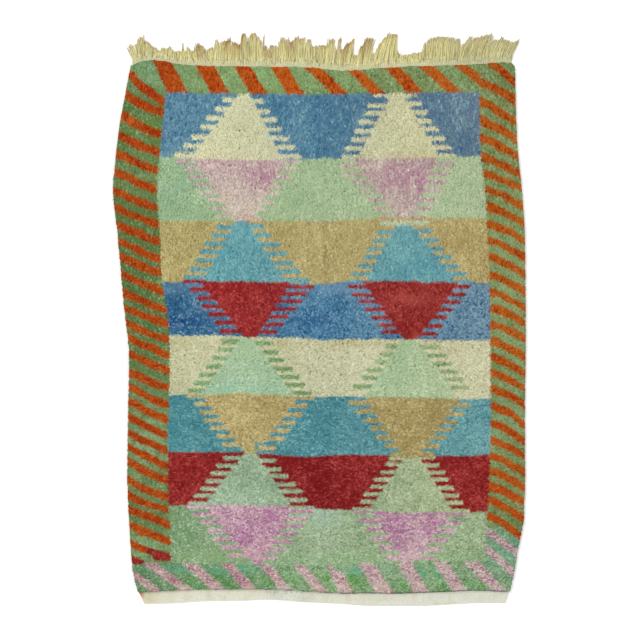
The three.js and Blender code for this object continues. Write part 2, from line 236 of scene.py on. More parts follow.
# Dyed wools: the colour at the left, in the middle and at the right of the rug, and the lighter and
# darker fibres that show in it
DYES = {
    "sky blue": (("#5c8498", "#4a748a", "#5c6c78"), "#82a4ac", "#36607e"),
    "cream": (("#cccaa2", "#b2b498", "#bcb88c"), "#dedcb8", "#a4a27c"),
    "pale mint": (("#8ca67e", "#98aa86", "#a2ae8c"), "#b8cca6", "#7e9c74"),
    "faded pink": (("#b49c9c", "#b4ac9a", "#9e8a8a"), "#d6c6bc", "#9a7a80"),
    "camel": (("#a69a66", "#a29666", "#a09060"), "#c6ba86", "#928250"),
    "teal": (("#56949e", "#689496", "#548a92"), "#86b8b4", "#447a86"),
    "deep blue": (("#2c5a78", "#447492", "#688290"), "#80a2b2", "#204c72"),
    "bright red": (("#901a1c", "#842c2c", "#802822"), "#b24e46", "#741416"),
    "warm cream": (("#b4b490", "#b8b89a", "#bab898"), "#dcdcbe", "#9e9e78"),
    "mint": (("#a4bca2", "#92aa88", "#a8b28c"), "#bed4b0", "#86a27c"),
    "leaf green": (("#72986c", "#769264", "#92a07a"), "#a4c090", "#5a7e48"),
    "deep teal": (("#4c8488", "#4c8088", "#669294"), "#7caeae", "#367078"),
    "straw": (("#baac7a", "#988a5a", "#948658"), "#d0c08c", "#887646"),
    "madder red": (("#8c2a26", "#74161a", "#842422"), "#ae4a46", "#6c1214"),
    "grey mint": (("#92ac94", "#84987c", "#aab086"), "#bacaa8", "#7a8e6e"),
    "sage": (("#6e8a68", "#92a284", "#8c9c78"), "#b0c8a6", "#708a64"),
    "lilac": (("#b698a2", "#a6848a", "#ae9898"), "#ceb0ba", "#946888"),
    "orange": (("#9a3e0a", "#ac5212", "#9c5010"), "#b4622a", "#8a2a06"),
    "border green": (("#566a3c", "#7a8e5e", "#728052"), "#92b080", "#4a6634"),
    "low green": (("#607a5a", "#849a76", "#7a8e70"), "#9cba96", "#4a7444"),
    "stripe pink": (("#9c8680", "#a49290", "#a49692"), "#d8beb6", "#94506e"),
    "dark red": (("#84261e", "#84261e", "#84261e"), "#a04e40", "#701818"),
    "dash mint": (("#a4ac90", "#a4ac90", "#a4ac90"), "#cad4b4", "#969e88"),
}
DYE_NUMBER = {name: number for number, name in enumerate(DYES)}
DYE_PLACES = (-520, 0, 520)

rng = np.random.default_rng(SEED)


def curve(rows, column):
    """A smooth curve through one column of a table, against its first column"""
    table = np.array(rows, float)
    places, values = table[:, 0], table[:, column]
    slopes = np.gradient(values, places)

    def at(place):
        place = np.clip(place, places[0], places[-1])
        k = np.clip(np.searchsorted(places, place, side="right") - 1, 0, len(places) - 2)
        step = places[k + 1] - places[k]
        s = (place - places[k]) / step
        return ((1 + 2 * s) * (1 - s) ** 2 * values[k] + s * (1 - s) ** 2 * step * slopes[k]
                + s * s * (3 - 2 * s) * values[k + 1] + s * s * (s - 1) * step * slopes[k + 1])
    return at


left_edge, right_edge = curve(SIDES, 1), curve(SIDES, 2)
fringed_edge = curve(FRINGED_END, 1)
headed_edge, hem_edge = curve(HEADED_END, 1), curve(HEADED_END, 2)
field_left, field_right = curve(FIELD_SIDES, 1), curve(FIELD_SIDES, 2)


def mix(a, b, share):
    """From a, at a share of 0, to b, at 1"""
    return a + (b - a) * share


def weave_point(across, along):
    """The place of a knot in mm, from its share of the width and of the length"""
    x = mix(SIDES[0][1], SIDES[0][2], across)
    for _ in range(4):   # the ends depend on x and the sides on y, and four rounds settle both
        y = mix(headed_edge(x), fringed_edge(x), along)
        x = mix(left_edge(y), right_edge(y), across)
    return x, y


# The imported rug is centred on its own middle, beside the photograph's by this shift
heading_low, heading_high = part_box("plain_heading")
end_corners = weave_point(np.array([0.0, 1.0]), np.zeros(2))[0]
hem_low = hem_edge(np.linspace(HEADED_END[0][0], HEADED_END[-1][0], 200)).min()
SHIFT = np.array([(heading_low.x + heading_high.x) * 500 - end_corners.mean(),
                  heading_low.y * 1000 - hem_low])


def to_metres(x, y, z):
    """Places in mm on the photograph as metres in the rug's frame"""
    return np.stack([x + SHIFT[0], y + SHIFT[1], z + 0 * x], axis=-1) * 0.001


def mottle(x, y, size, seed):
    """Smooth seeded noise from -1 to 1 with patches of about that size"""
    cells = 64
    lattice = np.random.default_rng(seed).uniform(-1, 1, (cells, cells))
    u, v = x / size + cells, y / size + cells
    i, j = np.floor(u).astype(int), np.floor(v).astype(int)
    s, t = u - i, v - j
    s, t = s * s * (3 - 2 * s), t * t * (3 - 2 * t)

    def corner(a, b):
        return lattice[(i + a) % cells, (j + b) % cells]
    return mix(mix(corner(0, 0), corner(1, 0), s), mix(corner(0, 1), corner(1, 1), s), t)


def pile_height(x, y):
    """Height of the tips above the floor: low broad waves, with one old fold along the rug"""
    waves = sum(np.sin(x / wave_x + y / wave_y + start) for wave_x, wave_y, start in WAVES)
    fold = np.exp(-(((x - FOLD_X) / FOLD_WIDTH) ** 2))
    return PILE_TOP + WAVE_HEIGHT * waves / 2 - FOLD_DEPTH * fold


def band_of(x, y):
    """0 in the top border, 1 to 8 in the bands going down, 9 in the bottom border"""
    wavy_y = y + LINE_WANDER * mottle(x, y, size=24, seed=31)
    return sum((wavy_y < np.interp(x, LINE_PLACES, line)).astype(int) for line in BAND_LINES)


def comb_side(number, outward, x, y):
    """Where a figure's toothed edge lets it reach: inside the solid part, and inside a tooth"""
    teeth, heights, tips, edges = COMBS[number]
    step = (heights[1] - heights[0]) / (teeth - 1)
    place = (y - heights[0]) / step
    nearest = np.clip(np.round(place), 0, teeth - 1).astype(int)
    wander = np.random.default_rng(number).normal(0, TOOTH_WANDER, (teeth, 2))
    tip = mix(tips[0], tips[1], nearest / (teeth - 1)) + wander[nearest, 0]
    edge = mix(edges[0], edges[1], place / (teeth - 1))
    edge = edge + SOLID_WANDER * mottle(x, y, size=16, seed=number)
    from_tip = np.clip((tip - x) * outward / TOOTH_ROUND, 0, 1)
    half = TOOTH_SHARE / 2 * np.sqrt(1 - (1 - from_tip) ** 2)
    in_tooth = (from_tip > 0) & (np.abs(place + wander[nearest, 1] / TOOTH_CLIMB - nearest) < half)
    return (edge - x) * outward > 0, in_tooth


def field_dyes(x, y, band, code):
    """Writes the dye of each knot of the field into code"""
    for number, (_, ground, figure, teeth) in enumerate(BANDS):
        here = band == number + 1
        code[here] = DYE_NUMBER[ground]
        for left in (4 * number, 4 * number + 2):
            solid_left, tooth_left = comb_side(left, -1, x, y)
            solid_right, tooth_right = comb_side(left + 1, 1, x, y)
            solid = solid_left & solid_right
            tooth = (tooth_left | solid_left) & (tooth_right | solid_right) & ~solid
            code[here & solid] = DYE_NUMBER[figure]
            code[here & tooth] = DYE_NUMBER[teeth]


# Stripes of the border, which slant down to the right all round. At the sides, from the top: the
# height of a stripe's middle on the rug's edge and at the field.
LEFT_STRIPES = [
    (739, 652), (679, 619), (615, 555), (556, 500), (502, 445), (446, 392), (389, 335), (338, 288),
    (287, 236), (236, 183), (191, 143), (141, 83), (87, 27), (39, -11), (-10, -58), (-51, -106),
    (-99, -153), (-157, -205), (-198, -256), (-244, -299), (-289, -346), (-335, -392), (-379, -440),
    (-425, -481), (-479, -529), (-522, -572), (-564, -615), (-613, -663), (-669, -712), (-718, -766),
]
RIGHT_STRIPES = [
    (709, 800), (655, 713), (593, 654), (540, 599), (490, 546), (438, 491), (393, 441), (342, 394),
    (293, 340), (237, 289), (188, 240), (136, 189), (84, 138), (35, 84), (-10, 37), (-58, -11),
    (-113, -60), (-158, -111), (-207, -156), (-259, -204), (-312, -254), (-360, -308), (-408, -356),
    (-461, -404), (-504, -454), (-547, -498), (-598, -537), (-648, -585),
]
SIDE_BOW = (-3.5, 5)           # how far the stripes bow at their middle, left and right
SIDE_STRIPE = 25
CORNER_LEAN = 0.5              # the left border widens by this share of the height in its top corner
STRIPE_END = 7                 # a left stripe rounds off over this length at the field
STRIPE_ROUND = 0.8             # how round it is there, from 0, cut square, to 1, a full curve
STRIPE_WIDENS = ((400, 700), (0, 2.5))   # the side stripes grow wider each way between these heights
STRIPE_WAVE = 4.2              # and wave by this much
RAGGED_ACROSS, RAGGED_ALONG = 2.2, 1.4   # how ragged the edges of all stripes are
RED_FROM = -516                # the last left stripe but one is dark red to the right of this place
RED_TO = -524                  # and the last one to the left of this, and green past it

# At the ends: a stripe's middle near the border's upper line and its lower one, and its width
TOP_STRIPES = [  # x, y, x, y, width
    (-470, 777, -425, 684, 58), (-340, 762, -301, 687, 56), (-230, 759, -183, 684, 50),
    (-120, 759, -72, 682, 51), (-17, 756, 66, 677, 48), (108, 747, 177, 681, 42),
    (224, 754, 289, 682, 50), (327, 757, 403, 687, 46), (438, 756, 511, 696, 42),
]
LOW_STRIPES = [
    (-546, -771, -489, -813, 34), (-497, -738, -400, -807, 44), (-391, -729, -301, -807, 48),
    (-277, -729, -208, -804, 40), (-180, -712, -104, -804, 38), (-59, -738, 3, -808, 35),
    (58, -767, 74, -803, 42), (22, -732, 36, -746, 20), (147, -741, 192, -810, 51),
    (265, -740, 304, -810, 46), (369, -735, 418, -804, 47), (462, -731, 533, -804, 46),
    (509, -690, 578, -754, 30), (512, -638, 587, -693, 32),
]
END_REACH = 0.9                # half of a stripe's drawn height beside that between its two places
PINKS_BELOW = -622             # the right border changes from orange to pink at this height


def end_stripes(x, y, rows):
    """Inside one of the slanted stripes that rows gives"""
    inside = np.zeros(len(x), bool)
    for x0, y0, x1, y1, width in rows:
        near = np.abs(x - mix(x0, x1, (y - y0) / (y1 - y0))) < width / 2
        inside |= near & (np.abs(y - (y0 + y1) / 2) < END_REACH * (y0 - y1))
    return inside


def side_stripes(x, y, rows, edge, field, bow, rounding):
    """Number of the side stripe that a place lies in, or -1"""
    share = (x - edge(y)) / (field(y) - edge(y))
    to_field = np.abs(field(y) - x)
    end = np.clip(1 - to_field / STRIPE_END, 0, 1) * rounding
    half = SIDE_STRIPE / 2 * np.sqrt(1 - STRIPE_ROUND * end ** 2) + np.interp(y, *STRIPE_WIDENS)
    number = np.full(len(x), -1)
    for k, (outer, inner) in enumerate(rows):
        middle = mix(outer, inner, share) + 4 * bow * share * (1 - share)
        number[np.abs(y - middle) < half] = k
    return number


def border_dyes(x, y, band, code):
    """Writes the dye of each knot of the border into code"""
    ragged_x = x + RAGGED_ACROSS * mottle(x, y, size=14, seed=41)
    ragged_y = y + RAGGED_ALONG * mottle(x, y, size=14, seed=42)
    ragged_y = ragged_y + STRIPE_WAVE * mottle(x, y, size=36, seed=43)
    left = x < field_left(y) - CORNER_LEAN * np.maximum(y - BAND_LINES[0][0], 0)
    right = x > field_right(y)
    last = len(LEFT_STRIPES) - 1
    number = side_stripes(x, ragged_y, LEFT_STRIPES, left_edge, field_left, SIDE_BOW[0], 1)
    code[left] = DYE_NUMBER["border green"]
    code[left & (number >= 0)] = DYE_NUMBER["orange"]
    reddened = ((number == last - 1) & (x > RED_FROM)) | ((number == last) & (x < RED_TO))
    code[left & reddened] = DYE_NUMBER["dark red"]
    code[left & (number == last) & (x >= RED_TO)] = DYE_NUMBER["border green"]

    number = side_stripes(x, ragged_y, RIGHT_STRIPES, right_edge, field_right, SIDE_BOW[1], 0)
    code[right] = DYE_NUMBER["border green"]
    code[right & (number >= 0)] = DYE_NUMBER["orange"]

    top = (band == 0) & ~left & ~right
    code[top] = DYE_NUMBER["border green"]
    code[top & end_stripes(ragged_x, y, TOP_STRIPES)] = DYE_NUMBER["orange"]

    low = (band == len(BANDS) + 1) | (right & (number < 0) & (y < PINKS_BELOW))
    code[low] = DYE_NUMBER["low green"]
    code[low & end_stripes(ragged_x, y, LOW_STRIPES)] = DYE_NUMBER["stripe pink"]
    return left | right | (band == 0) | (band == len(BANDS) + 1)


# Knots that stand outside the rule of the figures and stripes: bars, a notch, thinned teeth and
# thick stripe ends
ODD_KNOTS = [  # x, y, half width, half height, dye
    (254, 302, 84, 6, "camel"), (257, 291, 74, 7, "dash mint"), (279, -405, 66, 8, "straw"),
    (-187, -375, 5, 12, "deep teal"), (-374, 117, 37, 4, "bright red"), (174, 666, 26, 4, "sky blue"),
    (298, 669, 22, 4, "sky blue"), (-471, -713, 25, 9, "dark red"), (-545, -727, 16, 6, "dark red"),
]


def knot_dyes(x, y):
    """The number of the dye at each place, its band, and whether it is in the border"""
    code = np.zeros(len(x), int)
    band = band_of(x, y)
    field_dyes(x, y, band, code)
    in_border = border_dyes(x, y, band, code)
    for at_x, at_y, half_x, half_y, dye in ODD_KNOTS:
        code[(np.abs(x - at_x) < half_x) & (np.abs(y - at_y) < half_y)] = DYE_NUMBER[dye]
    return code, band, in_border


# Places where a dye took unevenly, faded or greyed, and one dark line of painted shade along a crease
TINTS = {  # dye: x, y, half width, half height, colour, strength
    "sky blue": [(450, 640, 90, 60, "#5d7189", 0.6), (-400, 500, 90, 12, "#8a9a7c", 0.3)],
    "cream": [(-310, 492, 110, 9, "#c09080", 0.3), (260, 492, 100, 9, "#c09080", 0.25)],
    "faded pink": [
        (-160, 440, 70, 60, "#a5708a", 0.6), (-290, 470, 150, 22, "#a87a92", 0.5),
        (-240, 345, 80, 45, "#cdc6a6", 0.35), (250, 425, 100, 60, "#a37088", 0.5),
        (310, 405, 24, 40, "#9c5c80", 0.4), (-220, 305, 40, 8, "#c07a48", 0.3)],
    "pale mint": [(258, 308, 60, 7, "#c89a5c", 0.3), (-400, 420, 80, 90, "#7fa595", 0.35)],
    # the narrow dark line in the camel is painted shade along a crease down the rug
    "camel": [(18, 220, 5, 80, "#6f6042", 0.6)],
    "teal": [(300, 150, 110, 40, "#4f8793", 0.5)],
    "bright red": [(280, 64, 60, 15, "#c46a5c", 0.3), (-240, 38, 110, 13, "#701a20", 0.4)],
    "deep blue": [
        (0, 98, 600, 22, "#7898ac", 0.5), (-430, 0, 80, 26, "#103a72", 0.9),
        (-20, 2, 60, 20, "#284c78", 0.6)],
    "warm cream": [(0, -70, 600, 20, "#a39764", 0.4)],
    "mint": [(-215, -210, 120, 25, "#85b39c", 0.6), (-225, -100, 60, 40, "#a2b98c", 0.4)],
    "deep teal": [(-430, -310, 60, 80, "#3a7a84", 0.4)],
    "grey mint": [(-215, -530, 80, 25, "#86ac98", 0.4)],
    "lilac": [
        (-156, -594, 26, 34, "#a0658e", 0.6), (-228, -642, 34, 28, "#a0658e", 0.5),
        (345, -624, 30, 42, "#9e5e88", 0.5), (240, -600, 30, 30, "#a0658e", 0.4),
        (-230, -702, 90, 20, "#cbb4a8", 0.5), (270, -708, 90, 28, "#cbb0ac", 0.4)],
    "sage": [
        (-420, -640, 60, 90, "#688a5e", 0.8), (0, -715, 600, 16, "#78a06e", 0.5),
        (0, -590, 70, 40, "#9fb8a8", 0.5), (-350, -700, 90, 24, "#86a067", 0.4)],
    "border green": [
        (-520, 740, 90, 50, "#7a9e7a", 0.8), (-520, 570, 90, 45, "#5f843c", 0.6),
        (-520, 440, 90, 80, "#78925c", 0.5), (-260, 730, 230, 60, "#8fae76", 0.7),
        (-520, 20, 90, 110, "#44683a", 0.6), (-520, -365, 90, 150, "#849e74", 0.8),
        (-520, -690, 90, 55, "#82a274", 0.9), (550, 120, 90, 220, "#879a6c", 0.6),
        (550, -300, 90, 70, "#7e9a74", 0.6)],
    "low green": [
        (-420, -750, 80, 16, "#529a78", 0.7), (-250, -750, 80, 16, "#54a07e", 0.7),
        (-340, -790, 60, 20, "#468c38", 0.75), (-120, -780, 60, 24, "#468c3e", 0.75),
        (60, -780, 70, 24, "#5a8c30", 0.65), (130, -750, 60, 20, "#58a482", 0.6),
        (330, -760, 60, 24, "#4e9866", 0.65), (400, -796, 200, 12, "#509236", 0.65),
        (560, -690, 60, 70, "#5c9484", 0.5)],
    "stripe pink": [(0, -800, 600, 9, "#cdbca8", 0.5)],
    "orange": [(540, -450, 90, 300, "#a33c0c", 0.6)],
}
TINT_CLOUDS = ((22, 0.6, 61), (8, 0.5, 161))   # tints break up into patches: size, strength, first seed
TINT_FILL = 0.7                # share of a tint where no patch changes it
TINT_MOST = 1.2                # and the most of it, in its patches
LIGHT_FLECKS = 0.8
DARK_FLECKS = 1.25             # the dark flecks are a little stronger than the light ones
FLECK_MOST = 1.1               # and a fleck goes past its colour by at most a tenth
FLECKED = {  # wools with fewer or more flecks than the rest
    "cream": 0.55, "warm cream": 0.65, "pale mint": 0.75, "camel": 0.98, "mint": 0.9, "straw": 0.92,
    "lilac": 1.75, "stripe pink": 1.2, "sage": 1.05, "grey mint": 1.1, "deep blue": 1.1, "orange": 1.25,
    "border green": 0.85, "teal": 0.9, "deep teal": 1.1, "madder red": 1.2, "bright red": 1.2,
    "low green": 1.2,
}

# How much lighter or darker the wool gets: from batch to batch, in smaller clouds, from knot to knot,
# in short rows across where the locks stand, and in streaks along the rug where they are laid over
BATCH_CLOUD, SMALL_CLOUD, KNOT_FLECK, ROW_FLECK, STREAK_FLECK = 0.24, 0.2, 0.3, 0.3, 0.25
ROW_DRAWN, STREAK_DRAWN = 2.5, 4   # how many times longer than broad the rows and the streaks are


def dye_colours(code, x, y, noise):
    """Linear colour of each knot: its dye at that place, clouded, and lighter or darker by noise"""
    colours = np.zeros((len(x), 3))
    for dye, (base, light, dark) in DYES.items():
        here = code == DYE_NUMBER[dye]
        stops = np.array([linear(c) for c in base])
        plain = np.stack([np.interp(x[here], DYE_PLACES, stops[:, c]) for c in range(3)], axis=1)
        share = noise[here, None] * FLECKED.get(dye, 1)
        lifted = mix(plain, linear(light), np.clip(share * LIGHT_FLECKS, 0, FLECK_MOST))
        colours[here] = mix(lifted, linear(dark), np.clip(-share * DARK_FLECKS, 0, FLECK_MOST))
    tinted = [(dye, tint) for dye, tints in TINTS.items() for tint in tints]
    for number, (dye, (at_x, at_y, half_x, half_y, colour, strength)) in enumerate(tinted):
        here = code == DYE_NUMBER[dye]
        gx, gy = x[here], y[here]
        near = np.exp(-((gx - at_x) / half_x) ** 2 - ((gy - at_y) / half_y) ** 2) * strength
        patchy = sum(depth * mottle(gx, gy, size, seed + number) for size, depth, seed in TINT_CLOUDS)
        near *= np.clip(TINT_FILL + patchy - noise[here], 0, TINT_MOST)
        colours[here] = mix(colours[here], linear(colour), np.clip(near, 0, 1)[:, None])
    return colours


def knot_noise(x, y, seed):
    """How light or dark the wool of each knot is, about 0"""
    flecks = KNOT_FLECK * np.random.default_rng(seed).normal(0, 1, len(x))
    flecks += np.interp(y, LAID_OVER, (ROW_FLECK, 0)) * mottle(x / ROW_DRAWN, y, 3.5, seed + 3)
    flecks += np.interp(y, LAID_OVER, (0, STREAK_FLECK)) * mottle(x, y / STREAK_DRAWN, 4, seed + 4)
    clouds = BATCH_CLOUD * mottle(x, y, size=60, seed=seed + 1)
    return clouds + SMALL_CLOUD * mottle(x, y, size=17, seed=seed + 2) + flecks


def take_shape():
    """Ends the modelling of a shape, and keeps only its vertices and its triangles"""
    bpy.ops.mesh.select_all(action="SELECT")
    bpy.ops.mesh.quads_convert_to_tris()
    bpy.ops.mesh.normals_make_consistent(inside=False)
    bpy.ops.object.mode_set(mode="OBJECT")
    shape = bpy.context.object
    points = np.array([v.co for v in shape.data.vertices])
    faces = np.array([p.vertices for p in shape.data.polygons])
    bpy.data.objects.remove(shape)
    return points, faces


def model_lock():
    """One lock: a three-sided tuft that swells from its root, at level 0, to 1 and ends in a point at 2"""
    bpy.ops.object.select_all(action="DESELECT")
    bpy.ops.mesh.primitive_cone_add(vertices=3, radius1=1, depth=2, end_fill_type="TRIFAN")
    bpy.ops.object.mode_set(mode="EDIT")
    points, faces = take_shape()
    on_axis = np.hypot(points[:, 0], points[:, 1]) < 0.1
    points[:, 2] = np.where(on_axis, np.where(points[:, 2] > 0, 2, 0), 1)
    return points, faces


CELL_MARGIN = 0.08             # of a lock's or yarn's square in the UV map, on each side
CAP_STRIP = 0.12               # a flat end is opened out to this share of the square


def strip_map(points, faces, sides, levels):
    """Flat places in a unit cell for the corners of a lock or yarn, one strip for each side"""
    angle = np.arctan2(points[:, 1], points[:, 0])
    turn = np.round((angle - angle[0]) * sides / (2 * math.pi)) % sides
    on_axis = np.hypot(points[:, 0], points[:, 1]) < 1e-4
    places = np.zeros((len(faces), 3, 2))
    for f, face in enumerate(faces):
        level = points[face, 2]
        around = np.where(on_axis[face], np.nan, turn[face])
        if np.nanmax(around) - np.nanmin(around) > 1.5:
            around = np.where(around == 0, sides, around)
        flat = level.max() - level.min() < 1e-4
        around = np.where(np.isnan(around), np.nanmean(around), around)
        v = level / levels + (CAP_STRIP * (np.arange(3) == 1) if flat else 0)
        places[f] = np.stack([around / sides, v], axis=1)
    return places


def copies_mesh(name, points, faces, flat, colours):
    """One mesh of many copies: points is (copies, vertices, 3), flat the corners in a unit cell"""
    count, size = points.shape[:2]
    corners = (faces[None] + size * np.arange(count)[:, None, None]).reshape(-1, 3)
    mesh = bpy.data.meshes.new(name)
    mesh.from_pydata(points.reshape(-1, 3).tolist(), [], corners.tolist())
    side = math.ceil(math.sqrt(count))
    cell = np.stack([np.arange(count) % side, np.arange(count) // side], axis=1)
    unwrapped = (cell[:, None, None] + mix(CELL_MARGIN, 1 - CELL_MARGIN, np.clip(flat, 0, 1))) / side
    layer = mesh.uv_layers.new(name="OFBake")
    layer.data.foreach_set("uv", unwrapped.ravel().astype(np.float32))
    attribute = mesh.color_attributes.new("dye", "FLOAT_COLOR", "POINT")
    rgba = np.concatenate([colours, np.ones((*colours.shape[:2], 1))], axis=2)
    attribute.data.foreach_set("color", rgba.ravel().astype(np.float32))
    mesh.polygons.foreach_set("use_smooth", np.ones(len(corners), bool))
    mesh.update()
    piece = bpy.data.objects.new(name, mesh)
    bpy.context.scene.collection.objects.link(piece)
    return piece


FIBRES_TO_METRE = 900          # 1.1 mm each: wool fibres are too fine to show, so this stands for several
PLIES_TO_METRE = 440           # 2.3 mm each, a thick handspun ply


def handspun_wool(name, grain):
    """Handspun wool: no gloss, a soft sheen at the fibre ends and fine dark partings, as deep as grain"""
    material, tree, output = new_material(name)
    dye = add_node(tree, "ShaderNodeAttribute", attribute_name="dye")
    place = add_node(tree, "ShaderNodeTexCoord")
    fibres = add_node(tree, "ShaderNodeTexNoise", {
        "Vector": place.outputs["Object"], "Scale": FIBRES_TO_METRE, "Detail": 3, "Roughness": 0.7})
    shade = add_node(tree, "ShaderNodeMapRange", {
        0: fibres.outputs[0], 1: 0.3, 2: 0.7, 3: 0.88, 4: 1.1})
    plies = add_node(tree, "ShaderNodeTexNoise", {
        "Vector": place.outputs["Object"], "Scale": PLIES_TO_METRE, "Detail": 1, "Roughness": 0.6})
    partings = add_node(tree, "ShaderNodeMapRange", {
        0: plies.outputs[0], 1: 0.3, 2: 0.7, 3: 1 - grain, 4: 1 + grain})
    both = add_node(tree, "ShaderNodeMath", {
        0: shade.outputs[0], 1: partings.outputs[0]}, operation="MULTIPLY")
    colour = add_node(tree, "ShaderNodeVectorMath", {
        0: dye.outputs["Color"], 1: both.outputs[0]}, operation="MULTIPLY")
    relief = add_node(tree, "ShaderNodeBump", {
        "Height": fibres.outputs[0], "Strength": 0.35, "Distance": 0.0006})
    wool = add_node(tree, "ShaderNodeBsdfPrincipled", {
        "Base Color": colour.outputs[0], "Normal": relief.outputs[0], "Roughness": 0.95,
        "IOR": 1.54, "Specular IOR Level": 0.05, "Sheen Weight": 0.03, "Sheen Roughness": 0.5})
    tree.links.new(wool.outputs[0], output.inputs["Surface"])
    return material


def column(values):
    """One value for each lock or yarn, as a column beside the row of its vertices"""
    return values[:, None]


# Every lock of the pile, from the heading up: its root, its lean and its height
pile_start, pile_end = HEADED_END[5][1], FRINGED_END[7][1]   # both near the rug's middle
pile_length = pile_end - pile_start
rows = [0.5 * ROW_SPACING[0][1]]
while rows[-1] < pile_length - LAST_ROW:
    rows.append(rows[-1] + np.interp(rows[-1] + pile_start, *np.array(ROW_SPACING).T))
row_share = np.array(rows) / pile_length
row_step = np.gradient(row_share)
_, side_left, side_right = SIDES[8]   # about halfway up the rug
knots_across = round((side_right - side_left) / KNOT_SPACING)
across, row = np.meshgrid(np.arange(knots_across), np.arange(len(rows)))
along = row_share[row] + row_step[row] * rng.uniform(-KNOT_JITTER, KNOT_JITTER, row.shape)
# every other row starts half a knot further in
across = across + 0.5 * (row % 2) + 0.25 + rng.uniform(-KNOT_JITTER, KNOT_JITTER, row.shape)
across = np.clip(across / knots_across, *ROOTS_WITHIN)
along = np.clip(along, *ROOTS_WITHIN)
lock_x, lock_y = weave_point(across.ravel(), along.ravel())
count = len(lock_x)
laid = np.interp(lock_y, LAID_OVER, (0, 1))
lean_length = mix(*LEAN_LONG, laid) * rng.uniform(*LEAN_UNEVEN, count)
sideways = math.pi / 2 + rng.choice((-1, 1), count) * rng.normal(*SIDE_LEAN, count)
towards_fringe = math.pi / 2 + rng.normal(0, LAID_SPREAD, count)
lean_way = mix(sideways, towards_fringe, laid) + LEAN_SWEEP * mottle(lock_x, lock_y, LEAN_PATCH, 51)
lean_x = lean_length * np.cos(lean_way)
lean_y = lean_length * np.sin(lean_way)
lock_top = pile_height(lock_x, lock_y) + rng.uniform(-LUMP_HEIGHT, LUMP_HEIGHT, count)
seen_x, seen_y = lock_x + SEEN_SHARE * lean_x, lock_y + SEEN_SHARE * lean_y
_, lock_band, lock_border = knot_dyes(seen_x, seen_y)
lock_noise = knot_noise(seen_x, seen_y, SEED)
lock_colour = 0
for blend_x, blend_y in ((-1, -1), (1, -1), (-1, 1), (1, 1)):
    near_x, near_y = seen_x + BLEND * blend_x, seen_y + BLEND * blend_y
    lock_colour += dye_colours(knot_dyes(near_x, near_y)[0], near_x, near_y, lock_noise) / 4
lock_size = rng.uniform(*LOCK_UNEVEN, count)
lock_turn = rng.uniform(0, 2 * math.pi, count)
LOCK_POINTS, LOCK_FACES = model_lock()
LOCK_FLAT = strip_map(LOCK_POINTS, LOCK_FACES, 3, 2)
wool_pile = handspun_wool("dyed_handspun_wool_pile", 0.34)


def pile_piece(name, here):
    """A stretch of pile: the lock copied to each knot, bent over and coloured from root to tip, with painted
    shade at the root and painted light at the tip
    """
    level = np.interp(LOCK_POINTS[None, :, 2], (0, 1, 2), (0, RING_LEVEL, 1))
    cos, sin = np.cos(column(lean_way[here])), np.sin(column(lean_way[here]))
    angle = np.arctan2(LOCK_POINTS[None, :, 1], LOCK_POINTS[None, :, 0]) + column(lock_turn[here])
    radius = np.hypot(LOCK_POINTS[None, :, 0], LOCK_POINTS[None, :, 1])
    u = column(lock_size[here] * mix(*LOCK_LONG, laid[here])) * radius * np.cos(angle)
    v = column(lock_size[here] * mix(*LOCK_BROAD, laid[here])) * radius * np.sin(angle)
    x = column(lock_x[here]) + u * cos - v * sin + column(lean_x[here]) * level ** LEAN_CURVE
    y = column(lock_y[here]) + u * sin + v * cos + column(lean_y[here]) * level ** LEAN_CURVE
    for edge, outward in ((left_edge, -1), (right_edge, 1)):
        x = x - RIM_PULL * outward * np.maximum((x - edge(y)) * outward - RIM_SLACK, 0)
    slack = FRINGE_SLACK * (1 + mottle(x, y, size=7, seed=55))
    y = y - RIM_PULL * np.maximum(y - fringed_edge(x) - slack, 0)
    y = y + RIM_PULL * np.maximum(headed_edge(x) - RIM_SLACK - y, 0)
    z = LOCK_ROOT + (column(lock_top[here]) - LOCK_ROOT) * (1 - (1 - level) ** RISE_CURVE)
    # painted shade and light: each lock's colour runs from darker at its root to lighter at its tip
    tone = (ROOT_PAINTED_SHADE + TIP_PAINTED_LIGHT * level)[:, :, None]
    piece = copies_mesh(name, to_metres(x, y, z), LOCK_FACES, LOCK_FLAT, lock_colour[here][:, None] * tone)
    piece.data.materials.append(wool_pile)
    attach(piece, "root")
    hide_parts("knotted_pile")
    return piece


pile_pieces = []
for number, (band_name, *_) in enumerate(BANDS):
    in_band = ~lock_border & (lock_band == number + 1)
    pile_pieces.append(pile_piece("pile_band_" + band_name, in_band))

# Border of the knotted pile, tied in the same rows as the field: slanted stripes of orange in green,
# and of pink in green along the heading. It is cut in four here, one piece to each side.
between = lock_border & (lock_band > 0) & (lock_band <= len(BANDS))
pile_pieces += [
    pile_piece("pile_border_left", between & (lock_x < 0)),
    pile_piece("pile_border_right", between & (lock_x > 0)),
    pile_piece("pile_border_top", lock_band == 0),
    pile_piece("pile_border_bottom", lock_band == len(BANDS) + 1),
]

# Ground weave: undyed wool warps and wefts packed between the rows of knots, one cloth from edge to
# edge. Its back shows the knots' dyed loops, and its edges are the selvedges.
WEAVE_CELLS = (110, 140)       # across, along
WEAVE_THICKNESS = 3
PILE_ENDS = (-812, 758)        # the lowest and highest place that the mean width is taken between
BACK_FLECKS = 0.6              # the back is less flecked, as no fibre ends stand out there
WAVE_OF_ONE = 314              # mm from one crest to the next in a wave texture with a scale of 1
LOOP_ROWS = 60                 # this scale gives 5.2 mm, the rows' own spacing near the fringe
TOP_WIDE = 0.48                # of the UV square, for the top of a cloth and for its back
BACK_FROM = 0.52
EDGE_WIDE = 0.005
RIGHT_FROM, LEFT_FROM, FAR_FROM, NEAR_FROM = 0.484, 0.492, 0.502, 0.511


